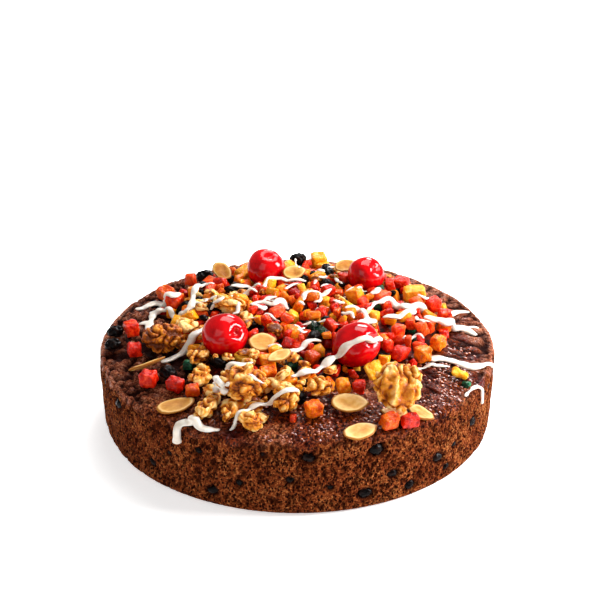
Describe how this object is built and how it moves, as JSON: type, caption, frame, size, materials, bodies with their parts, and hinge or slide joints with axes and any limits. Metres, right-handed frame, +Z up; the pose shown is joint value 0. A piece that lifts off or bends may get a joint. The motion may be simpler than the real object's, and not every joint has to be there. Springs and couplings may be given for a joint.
{
  "type": "fruit cake",
  "caption": "Round dark fruit cake with a low domed top heaped with glace cherries, walnuts, almond flakes and diced candied peel, drizzled with white icing.",
  "frame": {"origin": "middle of the flat base", "axes": "+Z up through the cake's axis, the front faces -Y, +X to the right seen from the front"},
  "size_m": [0.2, 0.2, 0.0693],
  "materials": {
    "cake_crumb": "baked crumb and dark crust",
    "fruit_mix": "sticky mixed candied fruit",
    "glace_cherry": "syrup gloss",
    "walnut_kernel": "dry nut with thin skin",
    "almond_flake": "dry cut nut",
    "candied_red": "sugared gel",
    "candied_orange": "sugared gel",
    "candied_yellow": "sugared gel",
    "candied_green": "sugared gel",
    "raisin": "wrinkled dried skin",
    "icing": "set sugar glaze"
  },
  "bodies": {
    "root": {"cake": "cake_crumb", "fruit_mix": "fruit_mix", "almond_01": "almond_flake", "almond_02": "almond_flake", "almond_03": "almond_flake", "almond_04": "almond_flake", "almond_05": "almond_flake", "almond_06": "almond_flake", "almond_07": "almond_flake", "almond_08": "almond_flake", "almond_09": "almond_flake", "almond_10": "almond_flake", "almond_11": "almond_flake", "candied_orange_05": "candied_orange", "candied_orange_06": "candied_orange", "candied_orange_07": "candied_orange", "candied_orange_09": "candied_orange", "candied_orange_10": "candied_orange", "candied_orange_13": "candied_orange", "candied_orange_14": "candied_orange", "candied_orange_16": "candied_orange", "candied_orange_20": "candied_orange", "candied_red_01": "candied_red", "candied_red_02": "candied_red", "candied_red_03": "candied_red", "candied_red_04": "candied_red", "candied_red_08": "candied_red", "candied_red_11": "candied_red", "candied_red_17": "candied_red", "candied_red_18": "candied_red", "candied_red_19": "candied_red", "candied_red_21": "candied_red", "candied_yellow_12": "candied_yellow", "candied_yellow_15": "candied_yellow", "candied_yellow_22": "candied_yellow", "cherry_1": "glace_cherry", "cherry_2": "glace_cherry", "cherry_3": "glace_cherry", "cherry_4": "glace_cherry", "raisin_1": "raisin", "raisin_2": "raisin", "raisin_3": "raisin", "raisin_4": "raisin", "raisin_5": "raisin", "walnut_01": "walnut_kernel", "walnut_02": "walnut_kernel", "walnut_03": "walnut_kernel", "walnut_04": "walnut_kernel", "walnut_05": "walnut_kernel", "walnut_06": "walnut_kernel", "walnut_07": "walnut_kernel", "walnut_08": "walnut_kernel", "walnut_09": "walnut_kernel", "walnut_10": "walnut_kernel", "walnut_11": "walnut_kernel", "walnut_12": "walnut_kernel"}
  },
  "joints": []
}
